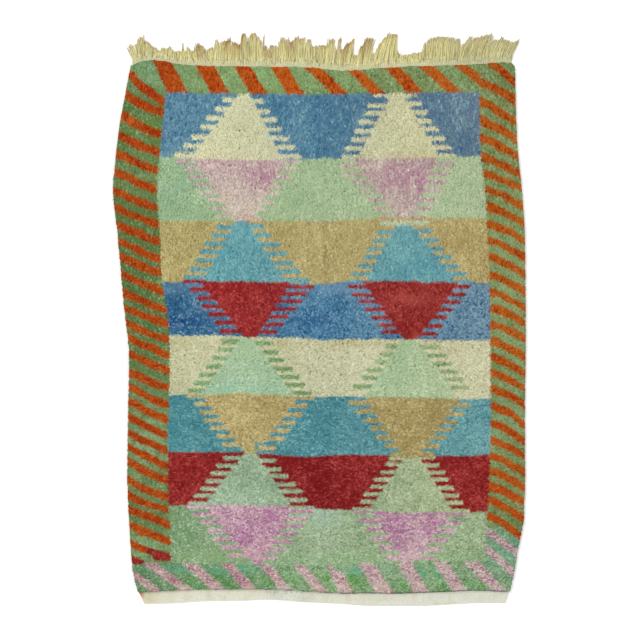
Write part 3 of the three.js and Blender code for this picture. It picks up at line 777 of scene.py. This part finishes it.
def cloth_from(name, cells, place, thickness):
    """A woven sheet: a grid laid out by place, in mm, and given its thickness upwards"""
    bpy.ops.object.select_all(action="DESELECT")
    bpy.ops.mesh.primitive_grid_add(x_subdivisions=cells[0], y_subdivisions=cells[1], size=1)
    cloth = bpy.context.object
    cloth.name = cloth.data.name = name
    share = np.array([v.co for v in cloth.data.vertices]) + 0.5
    x, y, z = place(share[:, 0], share[:, 1])
    cloth.data.vertices.foreach_set("co", to_metres(x, y, z).ravel().astype(np.float32))
    cloth.data.update()
    bpy.ops.object.modifier_add(type="SOLIDIFY")
    cloth.modifiers[-1].thickness = thickness * 0.001
    cloth.modifiers[-1].offset = 1
    bpy.ops.object.modifier_apply(modifier=cloth.modifiers[-1].name)
    while cloth.data.uv_layers:
        cloth.data.uv_layers.remove(cloth.data.uv_layers[0])
    return cloth


def unwrap_cloth(cloth):
    """Top and back side by side, and the four edges as narrow strips between them"""
    low = np.array([v.co for v in cloth.data.vertices]).min(axis=0)
    high = np.array([v.co for v in cloth.data.vertices]).max(axis=0)
    layer = cloth.data.uv_layers.new(name="OFBake")
    for face in cloth.data.polygons:
        normal = face.normal
        for corner in face.loop_indices:
            co = cloth.data.vertices[cloth.data.loops[corner].vertex_index].co
            share = [(co[c] - low[c]) / (high[c] - low[c]) for c in range(3)]
            if abs(normal.z) > 0.5:
                u, v = share[0] * TOP_WIDE + (0 if normal.z > 0 else BACK_FROM), share[1]
            elif abs(normal.x) > abs(normal.y):
                u, v = (RIGHT_FROM if normal.x > 0 else LEFT_FROM) + EDGE_WIDE * share[2], share[1]
            else:
                u, v = (FAR_FROM if normal.y > 0 else NEAR_FROM) + EDGE_WIDE * share[2], share[0]
            layer.data[corner].uv = (u, v)


def paint(cloth, colour_at):
    """A colour attribute, one linear colour for each cell, from a function of x and y"""
    centres = np.array([f.center for f in cloth.data.polygons]) * 1000
    colour = colour_at(centres[:, 0] - SHIFT[0], centres[:, 1] - SHIFT[1])
    rgba = np.concatenate([colour, np.ones((len(colour), 1))], axis=1)
    sizes = np.array([f.loop_total for f in cloth.data.polygons])
    attribute = cloth.data.color_attributes.new("dye", "FLOAT_COLOR", "CORNER")
    attribute.data.foreach_set("color", np.repeat(rgba, sizes, axis=0).ravel().astype(np.float32))


def loop_colours(x, y):
    """The dyes on the back, where each knot's loop shows"""
    return dye_colours(knot_dyes(x, y)[0], x, y, BACK_FLECKS * knot_noise(x, y, SEED + 9))


def knotted_ground():
    """Packed wool: the dyed loops in rows with the pale wefts between them, dull and finely ribbed"""
    material, tree, output = new_material("knotted_wool_ground")
    dye = add_node(tree, "ShaderNodeAttribute", attribute_name="dye")
    place = add_node(tree, "ShaderNodeTexCoord")
    rows = add_node(tree, "ShaderNodeTexWave", {
        "Vector": place.outputs["Object"], "Scale": LOOP_ROWS, "Distortion": 1.5, "Detail": 2,
        "Detail Scale": 2}, bands_direction="Y")
    weft = add_node(tree, "ShaderNodeMapRange", {0: rows.outputs["Fac"], 1: 0.55, 2: 0.95, 3: 0, 4: 0.45})
    colour = add_node(tree, "ShaderNodeMix", {
        0: weft.outputs[0], 6: dye.outputs["Color"], 7: (*linear("#b9ad82"), 1)}, data_type="RGBA")
    relief = add_node(tree, "ShaderNodeBump", {
        "Height": rows.outputs["Fac"], "Strength": 0.5, "Distance": 0.0008})
    wool = add_node(tree, "ShaderNodeBsdfPrincipled", {
        "Base Color": colour.outputs[2], "Normal": relief.outputs[0], "Roughness": 0.95,
        "Specular IOR Level": 0.1})
    tree.links.new(wool.outputs[0], output.inputs["Surface"])
    return material


def weave_place(across, along):
    """A place in the ground weave, which lies on the floor"""
    return (*weave_point(across, along), 0)


ground_weave = cloth_from("ground_weave", WEAVE_CELLS, weave_place, WEAVE_THICKNESS)
unwrap_cloth(ground_weave)
paint(ground_weave, loop_colours)
ground_weave.data.materials.append(knotted_ground())
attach(ground_weave, "root")
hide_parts("knotted_pile")
heights = np.linspace(*PILE_ENDS, 400)
weave_area = (right_edge(heights) - left_edge(heights)).mean() * np.ptp(heights) * 1e-6

# Fringe end: a few rows of plain weave past the last knots, and the undyed warps left loose beyond
# them. They were cut long, lie in bunches and have frayed and browned at their tips.
STRIP_ENDS = (-561, 579)
STRIP_DEPTH = 22
STRIP_THICKNESS = 1.8
STRIP_CELLS = (160, 4)
SEAM_GAP = 0.4
WARP_PITCH = 3.3
STRIP_RIB = 1.7 * WARP_PITCH   # its ribs are drawn wider than the warps, so that they show
DUSTY = (300, 420)             # the fringe end grows dusty between these places across
ENDS_IN = 2                    # yarns keep this far in from the strip's two ends
YARN_STEP = 0.82               # yarns stand this close along the weave, in two layers
YARN_RADIUS = 1.15
YARN_RINGS = 10
YARN_TAPER = ((0, 0.2, 0.8, 1), (0.7, 1, 0.85, 0.4))   # shares of its length, of its radius there
YARN_SIT = 0.8                 # share of its radius that a yarn's middle lies above what it rests on
YARN_TWIST = 2                 # it turns by this angle from root to tip
UNDER_BROADER = 1.4            # a yarn of the lower layer is this much thicker
PART_WIDE = 4                  # two bunches part over this distance
BUNCH_PART = 0.28              # and between them the yarns are this much shorter
PART_CURVE = 1.3
TIP_PAST = 2                   # the longest tips pass the bunch's own by this much
TIP_WEAR = 8                   # how unevenly the tips have worn away
WEAR_SPREAD = 0.4              # share of that by which neighbours differ
SHORTEST = 5                   # no yarn ends nearer to the weave than this
ROOT_DEPTHS = (4, 17)          # a yarn comes out of the weave this far in from its edge
UNDER_DEPTH = 2                # and one of the lower layer this far
ROOT_RISE = 9                  # a yarn comes up out of the weave over this length
ROOT_SUNK = 2.4                # from this far down
LOOSE_LENGTH = 10              # past the weave a yarn leaves its warp's line over this length
STRAND_SWEEP = 1.5             # warps leave the weave straight and lean over later
LINE_OFF, ROOT_OFF, SWAY, TIP_OFF = 0.35, 1.2, 1.2, 1.8   # how far yarns stray, from weave to tip
SWAY_BENDS = 5                 # a yarn sways through this angle of a wave, from root to tip
ARCH = 1.5                     # yarns rise off the floor by up to this much on their way
STRAY_YARNS = 2
STUBBLE = 260                  # broken warps that end close to the weave
STUBBLE_LONG = (4, 22)
STUBBLE_LEAN = 3
FLOOR_GAP = 0.1                # nothing of a yarn comes nearer to the floor

# Bunches of the fringe from left to right: x at the roots, x and y at the tips of the first and the
# last yarn. Single stray yarns have one root, tip and reach.
BUNCHES = [  # root, tip, reach
    ((-558, -551), (-577, -569), (820, 832)), ((-545, -545), (-552, -552), (830, 830)),
    ((-540, -526), (-545, -528), (852, 850)), ((-520, -483), (-519, -481), (841, 811)),
    ((-474, -452), (-471, -450), (825, 824)), ((-446, -440), (-444, -438), (820, 812)),
    ((-433, -402), (-431, -403), (812, 813)), ((-395, -382), (-396, -384), (823, 812)),
    ((-366, -343), (-369, -350), (832, 831)), ((-332, -320), (-330, -320), (816, 821)),
    ((-312, -309), (-310, -306), (843, 845)), ((-300, -270), (-296, -266), (834, 850)),
    ((-262, -243), (-258, -243), (838, 830)), ((-236, -218), (-231, -220), (860, 862)),
    ((-210, -190), (-205, -189), (865, 862)), ((-184, -173), (-182, -174), (855, 842)),
    ((-161, -155), (-161, -154), (828, 812)), ((-148, -125), (-145, -126), (830, 824)),
    ((-118, -108), (-119, -108), (836, 854)), ((-102, -94), (-103, -90), (851, 850)),
    ((-88, -72), (-84, -69), (832, 854)), ((-66, -60), (-65, -58), (855, 848)),
    ((-54, -42), (-53, -41), (850, 851)), ((-36, -24), (-34, -24), (846, 849)),
    ((-18, -12), (-17, -6), (828, 836)), ((-4, 22), (2, 25), (826, 832)),
    ((27, 40), (29, 48), (849, 849)), ((44, 48), (47, 56), (814, 813)),
    ((50, 55), (60, 69), (850, 850)), ((58, 64), (66, 74), (814, 814)),
    ((68, 88), (86, 107), (836, 848)), ((94, 108), (102, 118), (797, 796)),
    ((112, 124), (122, 134), (814, 836)), ((128, 148), (142, 167), (850, 848)),
    ((152, 154), (156, 160), (803, 803)), ((160, 170), (175, 188), (820, 838)),
    ((175, 190), (198, 214), (848, 868)), ((193, 194), (212, 213), (842, 842)),
    ((198, 228), (218, 237), (860, 859)), ((232, 232), (230, 230), (830, 830)),
    ((240, 240), (240, 240), (808, 808)),
    ((246, 306), (247, 307), (796, 807)), ((310, 331), (314, 339), (828, 852)),
    ((338, 396), (345, 405), (852, 852)), ((403, 415), (412, 427), (850, 850)),
    ((422, 440), (438, 462), (840, 858)), ((447, 499), (467, 525), (852, 862)),
    ((506, 530), (531, 553), (842, 854)), ((537, 560), (559, 585), (843, 839)),
    ((566, 574), (590, 601), (838, 842)),
]
STRAYS = [(-408, -411, 838), (-528, -527, 858), (-167, -167, 858), (570, 604, 848), (60, 66, 850)]


def strip_place(across, along):
    """A place in the strip, from the pile, along 0, to its free edge, along 1"""
    x = mix(*STRIP_ENDS, across)
    return x, fringed_edge(x) + mix(SEAM_GAP, STRIP_DEPTH, along), 0


FLUFF_TO_METRE = 240           # 4.2 mm each: tufts of raised fibre, drawn coarse enough to show


def undyed_wool(name, direction, pitch, depth):
    """Undyed wool weave: matt and a little hairy, with ribs where its wefts pass over the warps or lie
    packed, a pitch apart, and painted shade in the grooves between them, as dark as depth"""
    material, tree, output = new_material(name)
    tone = add_node(tree, "ShaderNodeAttribute", attribute_name="dye")
    place = add_node(tree, "ShaderNodeTexCoord")
    cloud = add_node(tree, "ShaderNodeTexNoise", {
        "Vector": place.outputs["Object"], "Scale": FLUFF_TO_METRE, "Detail": 4, "Roughness": 0.6})
    shade = add_node(tree, "ShaderNodeMapRange", {0: cloud.outputs[0], 1: 0.3, 2: 0.7, 3: 0.86, 4: 1.1})
    ribs = add_node(tree, "ShaderNodeTexWave", {
        "Vector": place.outputs["Object"], "Scale": WAVE_OF_ONE / pitch, "Distortion": 0.6, "Detail": 2,
        "Detail Scale": 3}, bands_direction=direction)
    # painted shade: the grooves between the ribs are darkened by depth
    line = add_node(tree, "ShaderNodeMapRange", {0: ribs.outputs["Fac"], 1: 0, 2: 0.5, 3: 1 - depth, 4: 1})
    both = add_node(tree, "ShaderNodeMath", {0: shade.outputs[0], 1: line.outputs[0]}, operation="MULTIPLY")
    colour = add_node(tree, "ShaderNodeVectorMath", {
        0: tone.outputs["Color"], 1: both.outputs[0]}, operation="MULTIPLY")
    relief = add_node(tree, "ShaderNodeBump", {
        "Height": ribs.outputs["Fac"], "Strength": 0.4, "Distance": 0.0006})
    wool = add_node(tree, "ShaderNodeBsdfPrincipled", {
        "Base Color": colour.outputs[0], "Normal": relief.outputs[0], "Roughness": 0.92,
        "IOR": 1.54, "Specular IOR Level": 0.1, "Sheen Weight": 0.05, "Sheen Roughness": 0.5})
    tree.links.new(wool.outputs[0], output.inputs["Surface"])
    return material


def model_yarn():
    """One warp end: a three-sided yarn of unit length steps, as vertices and triangles"""
    bpy.ops.object.select_all(action="DESELECT")
    bpy.ops.mesh.primitive_circle_add(vertices=3, radius=1, fill_type="NGON")
    bpy.ops.object.mode_set(mode="EDIT")
    bpy.ops.mesh.select_all(action="SELECT")
    for _ in range(YARN_RINGS - 1):
        bpy.ops.mesh.extrude_region_move(TRANSFORM_OT_translate={"value": (0, 0, 1)})
    return take_shape()


fringe_rng = np.random.default_rng(SEED + 1)
roots = np.arange(STRIP_ENDS[0] + ENDS_IN, STRIP_ENDS[1] - ENDS_IN, YARN_STEP)
bunches = np.array(BUNCHES, float)
starts, stops = bunches[:, 0].T
past = np.maximum(starts[None] - roots[:, None], 0) + np.maximum(roots[:, None] - stops[None], 0)
known = bunches.transpose(0, 2, 1).reshape(-1, 3)   # the first and last yarn of each: root, tip, reach
known[:, 0] += 0.01 * np.arange(len(known))         # so that no two roots are the same
weave_end = fringed_edge(roots) + STRIP_DEPTH
parted = 1 - BUNCH_PART * np.clip(past.min(axis=1) / PART_WIDE, 0, 1) ** PART_CURVE
reach = weave_end + (np.interp(roots, known[:, 0], known[:, 2]) - weave_end) * parted
ends = np.stack([roots, np.interp(roots, known[:, 0], known[:, 1]), reach], axis=1)
strays = np.repeat(np.array(STRAYS, float), STRAY_YARNS, axis=0)
stub_x = fringe_rng.uniform(*STRIP_ENDS, STUBBLE)
stub_reach = fringed_edge(stub_x) + STRIP_DEPTH + fringe_rng.uniform(*STUBBLE_LONG, STUBBLE)
stubble = np.stack([stub_x, stub_x + fringe_rng.normal(0, STUBBLE_LEAN, STUBBLE), stub_reach], axis=1)
ends = np.concatenate([ends, strays, stubble])
yarns = len(ends)
under = np.arange(yarns) % 3 == 1   # every third yarn is in the lower layer
warp_x = np.round(ends[:, 0] / WARP_PITCH) * WARP_PITCH + fringe_rng.normal(0, LINE_OFF, yarns)
loose_x = ends[:, 0] + fringe_rng.normal(0, ROOT_OFF, yarns)
root_x = np.clip(loose_x, STRIP_ENDS[0] + ENDS_IN, STRIP_ENDS[1] - ENDS_IN)
tip_x = ends[:, 1] + fringe_rng.normal(0, TIP_OFF, yarns)
wear = np.clip(mottle(ends[:, 1], 0 * tip_x, size=7, seed=81), 0, 1)
wear = wear + np.abs(fringe_rng.normal(0, WEAR_SPREAD, yarns))
tip_y = ends[:, 2] + TIP_PAST - TIP_WEAR * wear
strip_y = fringed_edge(root_x) + STRIP_DEPTH
start_y = strip_y - np.where(under, UNDER_DEPTH, fringe_rng.uniform(*ROOT_DEPTHS, yarns))
tip_y = np.maximum(tip_y, strip_y + SHORTEST)

YARN_POINTS, YARN_FACES = model_yarn()
YARN_FLAT = strip_map(YARN_POINTS, YARN_FACES, 3, YARN_RINGS - 1)
ring = YARN_POINTS[None, :, 2] / (YARN_RINGS - 1)
sway_wide, sway_start = fringe_rng.normal(0, SWAY, yarns), fringe_rng.uniform(0, 6, yarns)
sway = column(sway_wide) * np.sin(ring * SWAY_BENDS + column(sway_start)) * ring
centre_y = mix(column(start_y), column(tip_y), ring)
off_strip = np.clip((centre_y - column(strip_y)) / LOOSE_LENGTH, 0, 1)
in_line = column(np.where(under, 0, warp_x - root_x)) * (1 - off_strip)
centre_x = mix(column(root_x), column(tip_x), ring ** STRAND_SWEEP) + sway + in_line
arch = 1 + column(fringe_rng.uniform(0, ARCH, yarns)) * np.sin(ring * math.pi)
height = np.where(column(under), FLOOR_GAP, mix(STRIP_THICKNESS - FLOOR_GAP, arch, off_strip))
height = height - ROOT_SUNK * np.clip(1 - (centre_y - column(start_y)) / ROOT_RISE, 0, 1)
radius = YARN_RADIUS * np.interp(ring, *YARN_TAPER) * np.where(column(under), UNDER_BROADER, 1)
turn = column(fringe_rng.uniform(0, math.pi / 2, yarns)) + YARN_TWIST * ring
angle = np.arctan2(YARN_POINTS[None, :, 1], YARN_POINTS[None, :, 0]) + turn
yarn_x = centre_x + radius * np.cos(angle)
yarn_z = np.maximum(YARN_RADIUS * YARN_SIT + height + radius * np.sin(angle), FLOOR_GAP)

# The yarns are golden where the wool's grease stayed, browner towards the tips, and some are darker
# near the weave. The lower layer, which shows where the upper yarns part, is darkened with painted shade.
pale, straw, brown, dark_brown, dust = (
    linear(c) for c in ("#e2dfac", "#dcd498", "#b08a50", "#6c5a32", "#b4b088"))
GREASY = (-361, -275, -240, -156, -87, 70, 130)   # places along the strip
GREASY_HALF = 15
YARN_DARKENING, DARKENED_SHARE = (0, 0.12, 0.8), (0.57, 0.3, 0.13)   # how dark a yarn gets, share of yarns that do
DARKEST_LEFT = ((-440, -400), (0.18, 0))   # left of these places this share of all gets darkest too
DARK_PLACE = ((0, 0.15, 0.3, 0.5, 1), (0.1, 0.9, 1, 0.4, 0.3))   # places along a yarn, share of the dark
UNDER_PAINTED_SHADE = (0.7, 0.3)        # yarns of the lower layer are darker with painted shade: at the root, at the tip
YARN_SHADES = 0.11             # yarns differ in lightness by about this share
golden = sum(np.exp(-((root_x - x) / GREASY_HALF) ** 2) for x in GREASY).clip(0, 1)
# pale at the weave and more of a straw colour past it
warp_colour = mix(pale, straw, np.clip(off_strip * 0.7 + ring * 0.5, 0, 1)[:, :, None])
# the greasy yarns brown from a fifth of their length on, and all of them at the last sixth
browned = column(golden) * np.clip(ring * 1.6 - 0.3, 0, 1) * 0.6 + 0.7 * np.clip(ring * 6 - 5, 0, 1)
warp_colour = mix(warp_colour, brown, np.clip(browned, 0, 1)[:, :, None])
darkened = fringe_rng.choice(YARN_DARKENING, yarns, p=DARKENED_SHARE)
darkest_here = fringe_rng.random(yarns) < np.interp(root_x, *DARKEST_LEFT)
darkened = np.where(darkest_here, YARN_DARKENING[-1], darkened)
dark_root = column(darkened) * np.interp(ring, *DARK_PLACE)
# the lower layer's darkening is painted shade, as under and between the upper yarns
darkness = mix(dark_root, mix(*UNDER_PAINTED_SHADE, ring), column(under))
warp_colour = mix(warp_colour, dark_brown, darkness[:, :, None])
warp_colour = mix(warp_colour, dust, 0.35 * np.interp(centre_x, DUSTY, (0, 1))[:, :, None])
warp_colour = warp_colour * (1 + fringe_rng.normal(0, YARN_SHADES, yarns)[:, None, None])
fringe = copies_mesh("fringe_warps", to_metres(yarn_x, centre_y, yarn_z), YARN_FACES, YARN_FLAT, warp_colour)
fringe.data.materials.append(handspun_wool("undyed_warp_yarn", 0.1))
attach(fringe, "root")
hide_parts("fringe_heading")


def strip_colours(x, y):
    """Yellowed in patches, and dusty at the right"""
    yellowed = np.clip(mottle(x, y, size=30, seed=71), 0, 1)
    dusty = np.maximum(yellowed, np.interp(x, DUSTY, (0, 0.7)))
    return mix(linear("#cecca6"), linear("#c0bc98"), dusty[:, None])


fringe_strip = cloth_from("fringe_weave", STRIP_CELLS, strip_place, STRIP_THICKNESS)
unwrap_cloth(fringe_strip)
paint(fringe_strip, strip_colours)
# the strip's ribs carry painted shade between the warps
fringe_strip.data.materials.append(undyed_wool("undyed_weft_wool", "X", STRIP_RIB, 0.2))
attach(fringe_strip, "root")
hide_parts("fringe_heading")

# Plain heading: a weft-faced band of undyed wool past the first knots, turned at its free edge so
# that no fringe shows. Old dust has greyed it in places.
HEADING_THICKNESS = 2.6
HEADING_CELLS = (400, 9)
HEADING_WIDE = 1100            # its colour changes from left to right over this width
WEFT_PITCH = 3.2               # packed wefts are finer: two or three are drawn as one rib, so they show
SMUDGES = ((-128, 26), (-48, 18))   # x, half width
FLECKS = (-90, 80, -820, 14)   # x, half width, y, half height of the place with small dark flecks
STAIN = (-541, 14, -825, 9)    # and of the stain, which slants
STAIN_SLANT = 0.4
YELLOW_END = (-530, 50)        # x, half width


def heading_place(across, along):
    """From the free edge, along 0, to the pile, along 1"""
    joined_x, joined_y = weave_point(across, 0 * across)
    free_x = mix(SIDES[0][1], SIDES[0][2], across)
    x = mix(free_x, joined_x, along)
    return x, mix(hem_edge(free_x), joined_y - SEAM_GAP, along), 0


def heading_colours(x, y):
    """Yellower at the left, greyer at the right, smudged and flecked, and stained red at its left end"""
    colour = mix(linear("#d3d2be"), linear("#cccdbf"), np.clip(x / HEADING_WIDE + 0.5, 0, 1)[:, None])
    yellow_end = np.exp(-((x - YELLOW_END[0]) / YELLOW_END[1]) ** 2)
    yellowed = 0.6 * np.clip(mottle(x, y, size=22, seed=72), 0, 1) + yellow_end * 0.8
    colour = mix(colour, linear("#c4be9e"), np.clip(yellowed, 0, 1)[:, None])
    smudges = sum(np.exp(-((x - middle) / half) ** 2) for middle, half in SMUDGES)
    colour = mix(colour, linear("#b4bab4"), (0.4 * smudges)[:, None])
    at_x, half_x, at_y, half_y = FLECKS
    near = np.exp(-((x - at_x) / half_x) ** 2 - ((y - at_y) / half_y) ** 2)
    flecks = (mottle(x, y / 3, size=3, seed=73) > 0.45) * near
    colour = mix(colour, linear("#8e9aa0"), (0.6 * flecks)[:, None])
    at_x, half_x, at_y, half_y = STAIN
    stain = np.exp(-((x + STAIN_SLANT * (y - at_y) - at_x) / half_x) ** 4 - ((y - at_y) / half_y) ** 4)
    return mix(colour, linear("#cc6e54"), (0.75 * stain)[:, None])


heading = cloth_from("plain_heading_weave", HEADING_CELLS, heading_place, HEADING_THICKNESS)
unwrap_cloth(heading)
paint(heading, heading_colours)
# the heading's ribs carry painted shade between the packed wefts
heading.data.materials.append(undyed_wool("weft_faced_wool_heading", "Y", WEFT_PITCH, 0.14))
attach(heading, "root")
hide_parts("plain_heading")

# Guard row between the pile and the heading: dark blue wool twined round the warps, whole at the
# right and showing only as dots at the left, where the pile hides it.
GUARD_RUNS = (  # x from, x to
    (-312, -306), (-164, -142), (-98, -82), (-50, -20), (3, 42), (66, 564),
)
GUARD_STEP = 2.6               # from one turn to the next
GUARD_LONG = 2.1               # half a turn's length
GUARD_THICK = 1.3              # and its radius
GUARD_HEIGHT = 3.6             # of its middle above the floor, on top of the heading's edge
GUARD_SHADES = 0.2             # turns differ in lightness by about this share
GUARD_IN = 2                   # it lies this far below the pile's edge
GUARD_OFF = 0.3                # and strays from that by about this much
GUARD_HIDDEN = 0.12            # share of its turns that the pile hides
GUARD_LEAN, GUARD_SLANT = 0.4, 0.35   # how far a turn leans over and slants

guard_x = np.concatenate([np.arange(a, b, GUARD_STEP) for a, b in GUARD_RUNS])
guard_rng = np.random.default_rng(SEED + 2)
guard_x = guard_x[guard_rng.random(len(guard_x)) > GUARD_HIDDEN]
guard_y = headed_edge(guard_x) - GUARD_IN + guard_rng.normal(0, GUARD_OFF, len(guard_x))
turns = LOCK_POINTS[None]
along_guard = GUARD_LONG * (turns[:, :, 2] - 1)
round_guard = np.arctan2(turns[:, :, 1], turns[:, :, 0])
thick = GUARD_THICK * np.hypot(turns[:, :, 0], turns[:, :, 1])
turn_x = column(guard_x) + along_guard + GUARD_LEAN * thick * np.cos(round_guard)
turn_y = column(guard_y) + thick * np.cos(round_guard) + GUARD_SLANT * along_guard
turn_z = GUARD_HEIGHT + thick * np.sin(round_guard)
guard_shade = 1 + guard_rng.normal(0, GUARD_SHADES, (len(guard_x), 1, 1))
guard_colour = linear("#36425e") * guard_shade * np.ones((1, turns.shape[1], 1))
guard = copies_mesh("guard_twining", to_metres(turn_x, turn_y, turn_z), LOCK_FACES, LOCK_FLAT, guard_colour)
guard.data.materials.append(wool_pile)
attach(guard, "root")
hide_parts("plain_heading")
